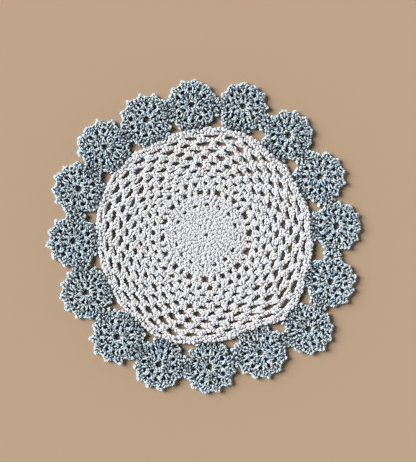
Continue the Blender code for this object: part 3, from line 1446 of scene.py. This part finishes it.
@dataclass
class Rosette:
    """One blue-grey rosette: a small ring, two rounds, an edge of picots, and its joins.

    Ring and full are the radii of its ring and its picots, and a round's top that of its loops.
    """

    yarn: Yarn
    writer: StitchWriter
    place: RosettePlace
    before: RosettePlace
    after: RosettePlace
    rng: Random
    petals: int = 12
    ring: float = 5.65 * MM
    ring_count: int = 8
    first_count: int = 18
    first_top: float = 13.0 * MM
    twisted_share: float = 0.55
    crossed_share: float = 0.6
    second_top: float = 20.6 * MM
    second_dip: float = 0.6 * MM
    foot_step: float = 1.25  # of the yarn
    head_step: float = 0.4  # of a petal
    valley_share: float = 0.89
    full: float = 28.0 * MM
    picot_lift: float = 0.2 * MM
    mat_half: float = math.radians(34.0)
    mat_joins: int = 10
    seam_joins: int = 7
    seam_feet: float = 3.6 * MM
    join_uneven: float = 0.6  # of the unevenness
    unevenness: float = 0.6 * MM

    @property
    def inwards(self) -> float:
        """The bearing from the rosette to the middle of its join with the mat."""
        return math.radians(self.place.bearing + 180.0) + JOIN_TURN

    def limit(self, bearing: float) -> float:
        """How far the rosette reaches: to a seam, to the mat, or to its picots.

        Args:
            bearing: the direction in radians.

        Returns:
            The distance from its centre.
        """
        if abs(wrapped(bearing - self.inwards)) < self.mat_half:
            return self.full
        reach = self.place.tip * MM
        for neighbour in (self.before, self.after):
            reach = min(reach, Seam.between(self.place, neighbour).distance(self.place.centre, bearing))
        return reach

    def spot(self, bearing: float, radius: float, uneven: float = 1.0) -> Array:
        """A place on the rosette, drawn towards its uneven outline.

        Args:
            bearing: in radians.
            radius: the distance from its centre, were it evenly round.
            uneven: how unevenly the place is kept, as a share of the rosette's unevenness.

        Returns:
            The place.
        """
        stretch = 1.0 + (self.limit(bearing) / self.full - 1.0) * (radius / self.full) ** 2
        return self.place.centre + polar(bearing, radius * stretch) + self.wander(uneven)

    def wander(self, share: float) -> Array:
        """How far off a place is kept, for a share of the rosette's unevenness."""
        return self.rng.normal(0.0, self.unevenness * share, 2)

    def border(self) -> list[Node]:
        """The edge: a picot on each petal, left flat where the rosette meets the mat.

        Returns:
            Its nodes.
        """
        step = TURN / self.petals
        valley = self.full * self.valley_share - self.yarn.diameter / 2
        nodes = []
        for i in range(self.petals):
            middle = math.radians(self.place.turn) + (i + 0.5) * step
            flat = abs(wrapped(middle - self.inwards)) < self.mat_half
            tip = valley + 0.6 * MM if flat else self.full - self.yarn.diameter / 2
            shoulder = tip - (0.2 if flat else 1.4) * MM
            lift = 0.0 if flat else self.picot_lift
            stitches = (  # foot and head as shares of the step, the foot's unevenness, radius, lift
                (-0.28, -0.30, 0.3, valley - 0.4 * MM, 0.0),
                (0.0, -0.12, 0.6, shoulder, lift),
                (None, 0.06, 0.0, tip, lift),
                (0.28, 0.28, 0.3, valley, 0.0),
            )
            for below, above, uneven, radius, height in stitches:
                chain = below is None
                foot = None if chain else self.spot(middle + below * step, self.second_top, uneven)
                at = self.spot(middle + above * step, radius)
                nodes.append(Node(at, Kind.CHAIN if chain else Kind.SHORT, foot, height))
        return nodes

    def mat_join(self) -> list[Node]:
        """The stitches that hold the rosette to the mat's edge.

        Returns:
            Their nodes.
        """
        nodes = []
        for i in range(self.mat_joins):
            bearing = self.inwards + self.mat_half * (2 * i / (self.mat_joins - 1) - 1)
            at = self.place.centre + polar(bearing, JOIN_RADIUS - 0.6 * MM)
            at = at + self.wander(self.join_uneven)
            foot = self.place.centre + polar(bearing, self.full * self.valley_share - 1.2 * MM)
            nodes.append(Node(at, Kind.SHORT, foot if i % 2 else None))
        return nodes

    def seam_join(self) -> list[Node]:
        """The stitches that hold the rosette to the one after it.

        Returns:
            Their nodes.
        """
        seam = Seam.between(self.place, self.after)
        nodes = []
        for i in range(self.seam_joins):
            at = seam.inner + (seam.outer - seam.inner) * (i + 0.3) / self.seam_joins
            at = at + self.wander(self.join_uneven)
            side = -1.0 if i % 2 else 1.0
            foot = at + seam.across * side * self.seam_feet + self.wander(self.join_uneven)
            nodes.append(Node(at, Kind.SHORT, foot))
        return nodes

    def work(self) -> list[Strand]:
        """Works the rosette from its ring to its joins.

        Returns:
            Its strands, one for each round and join.
        """
        turn = math.radians(self.place.turn)
        step = TURN / self.petals
        start = [turn + TURN * i / self.ring_count for i in range(self.ring_count)]
        centre = [Node(self.spot(bearing, self.ring, 0.4)) for bearing in start]

        first = []
        for i in range(self.first_count):
            bearing = turn + TURN * i / self.first_count
            foot = self.spot(bearing, self.ring, 0.5)
            kind = Kind.TWISTED if self.rng.random() < self.twisted_share else Kind.SHORT
            first.append(Node(self.spot(bearing, self.first_top, 1.6), kind, foot))
        self.writer.cross_pairs(first, self.crossed_share)

        second = []
        for i in range(self.petals):
            middle = turn + (i + 0.5) * step
            for side in (-0.5, 0.5):
                aside = side * self.foot_step * self.yarn.diameter
                foot = self.spot(middle + aside / self.first_top, self.first_top, 0.3)
                at = self.spot(middle + side * step * self.head_step, self.second_top)
                second.append(Node(at, Kind.SHORT, foot))
            second.append(Node(self.spot(middle + step / 2, self.second_top - self.second_dip)))
        self.writer.cross_pairs(second, self.crossed_share)
        rounds = [self.writer.round(nodes) for nodes in (centre, first, second, self.border())]
        joins = [self.writer.round(nodes, closed=False) for nodes in (self.mat_join(), self.seam_join())]
        return rounds + joins


# ---------------- table, light and camera


@dataclass(frozen=True)
class Studio:
    """A pale table top, soft light from the left and a camera straight above."""

    view_height: float = 485.1 * MM
    target: tuple[float, float] = (3.15 * MM, 5.25 * MM)
    distance: float = 0.85
    sensor: float = 36.0
    table: Colour = (0.487, 0.355, 0.243)
    table_half: float = 8.0
    surround: Colour = (0.93, 0.96, 1.0)
    surround_low: float = 2.8
    surround_high: float = 0.02
    surround_top: float = 0.48
    sun: Colour = (1.0, 0.98, 0.95)
    sun_from: tuple[float, float, float] = (-1.31, 0.52, 0.80)
    sun_spread: float = math.radians(34.0)
    sun_strength: float = 5.4
    shoulder_from: float = 0.68
    shoulder_reach: float = 3.0
    shoulder_steps: tuple[float, ...] = (0.2, 0.4, 0.7, 1.0, 1.4, 1.9, 2.5, 3.3, 4.2)

    def floor(self) -> None:
        """The table top that the doily lies on."""
        mesh = bpy.data.meshes.new("table_top")
        half = self.table_half
        corners = [(-half, -half, 0), (half, -half, 0), (half, half, 0), (-half, half, 0)]
        mesh.from_pydata(corners, [], [(0, 1, 2, 3)])
        material = bpy.data.materials.new("pale_table")
        nodes = Nodes(material)
        look = {"Base Color": self.table, "Roughness": 1.0, "Specular IOR Level": 0.0}
        nodes.feed(nodes.tree.nodes["Principled BSDF"], look)
        mesh.materials.append(material)
        linked(bpy.data.objects.new("table_top", mesh))

    def lights(self) -> None:
        """A wide low light from the left, and a surround that is bright near the horizon."""
        world = bpy.data.worlds.new("soft_surround")
        nodes = Nodes(world)
        place = nodes.add("TexCoord", {}).outputs["Generated"]
        upward = nodes.add("SeparateXYZ", {0: place}).outputs[2]
        ramp = {
            "Value": upward,
            "From Max": self.surround_top,
            "To Min": self.surround_low,
            "To Max": self.surround_high,
        }
        strength = nodes.add("MapRange", ramp).outputs[0]
        nodes.feed(nodes.tree.nodes["Background"], {"Color": self.surround, "Strength": strength})
        bpy.context.scene.world = world
        lamp = bpy.data.lights.new("key", "SUN")
        lamp.angle = self.sun_spread
        lamp.energy = self.sun_strength
        lamp.color = self.sun
        key = linked(bpy.data.objects.new("key", lamp))
        key.rotation_mode = "QUATERNION"
        key.rotation_quaternion = (-Vector(self.sun_from)).to_track_quat("-Z", "Y")

    def camera(self) -> None:
        """The camera, looking straight down."""
        lens = bpy.data.cameras.new("camera")
        lens.sensor_width = self.sensor
        lens.lens = self.sensor * self.distance / self.view_height
        camera = linked(bpy.data.objects.new("camera", lens))
        camera.location = (*self.target, FABRIC_MIDDLE + self.distance)
        bpy.context.scene.camera = camera

    def exposure(self) -> None:
        """A plain view with its brightest tones rolled off, so that lit white yarn keeps its relief."""
        view = bpy.context.scene.view_settings
        view.view_transform = "Standard"
        view.use_curve_mapping = True
        curves = view.curve_mapping
        curves.clip_max_x = self.shoulder_reach
        points = curves.curves[3].points
        start = self.shoulder_from
        points[-1].location = (self.shoulder_reach, 1.0)
        points.new(start, start)
        points.new(start / 2, start / 2)
        room = 1.0 - start
        for step in self.shoulder_steps:
            points.new(start + step * room, start + room * (1.0 - math.exp(-step)))
        curves.update()

    def set_up(self) -> None:
        """Makes all of it."""
        self.floor()
        self.lights()
        self.camera()
        self.exposure()


# ---------------- all of it


def worked(white: Yarn, blue: Yarn, rng: Random) -> dict[str, list[Strand]]:
    """Crochets the mat and its rosettes.

    Args:
        white: the mat's yarn.
        blue: the rosettes' yarn.
        rng: the seeded source of unevenness.

    Returns:
        The runs of yarn of each piece.
    """
    writers = (StitchWriter(white, shape, rng) for shape in (NET_STITCH, INNER_STITCH, MIDDLE_STITCH))
    mat = Mat(white, *writers, RingEdge(PLACES), rng)
    mat.work()
    groups = dict(mat.strands)
    blue_writer = StitchWriter(blue, ROSETTE_STITCH, rng)
    for index, place in enumerate(PLACES):
        after = PLACES[(index + 1) % len(PLACES)]
        rosette = Rosette(blue, blue_writer, place, PLACES[index - 1], after, rng)
        groups[f"rosette_{index + 1:02d}_yarn"] = rosette.work()
    return groups


def main() -> None:
    """Works, settles and dresses the doily."""
    logging.basicConfig(level=logging.INFO, format="%(message)s")
    white_yarn = Yarn(diameter=2.3 * MM)
    blue_yarn = Yarn(diameter=1.75 * MM)
    Studio().set_up()
    groups = worked(white_yarn, blue_yarn, np.random.default_rng(SEED))
    strands = [strand for group in groups.values() for strand in group]
    strands = Settling().settle(strands)
    spinner = Spinner(Depth(strands))
    white = OFF_WHITE.material(white_yarn)
    blue = BLUE_GREY.material(blue_yarn)
    taken = 0
    for name, group in groups.items():
        mine = strands[taken : taken + len(group)]
        taken += len(group)
        on_mat = name.startswith("mat_")
        piece = spinner.mesh(name, mine, white_yarn if on_mat else blue_yarn)
        piece.data.materials.append(white if on_mat else blue)
        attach(piece, BODY)
        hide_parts("centre_mat" if on_mat else name.removesuffix("_yarn"))
        length = sum(lengths_along(strand.points)[-1] for strand in mine)
        LOG.info("%s: %.1f m of yarn, %d faces", name, length, len(piece.data.polygons))


if __name__ == "__main__":
    main()
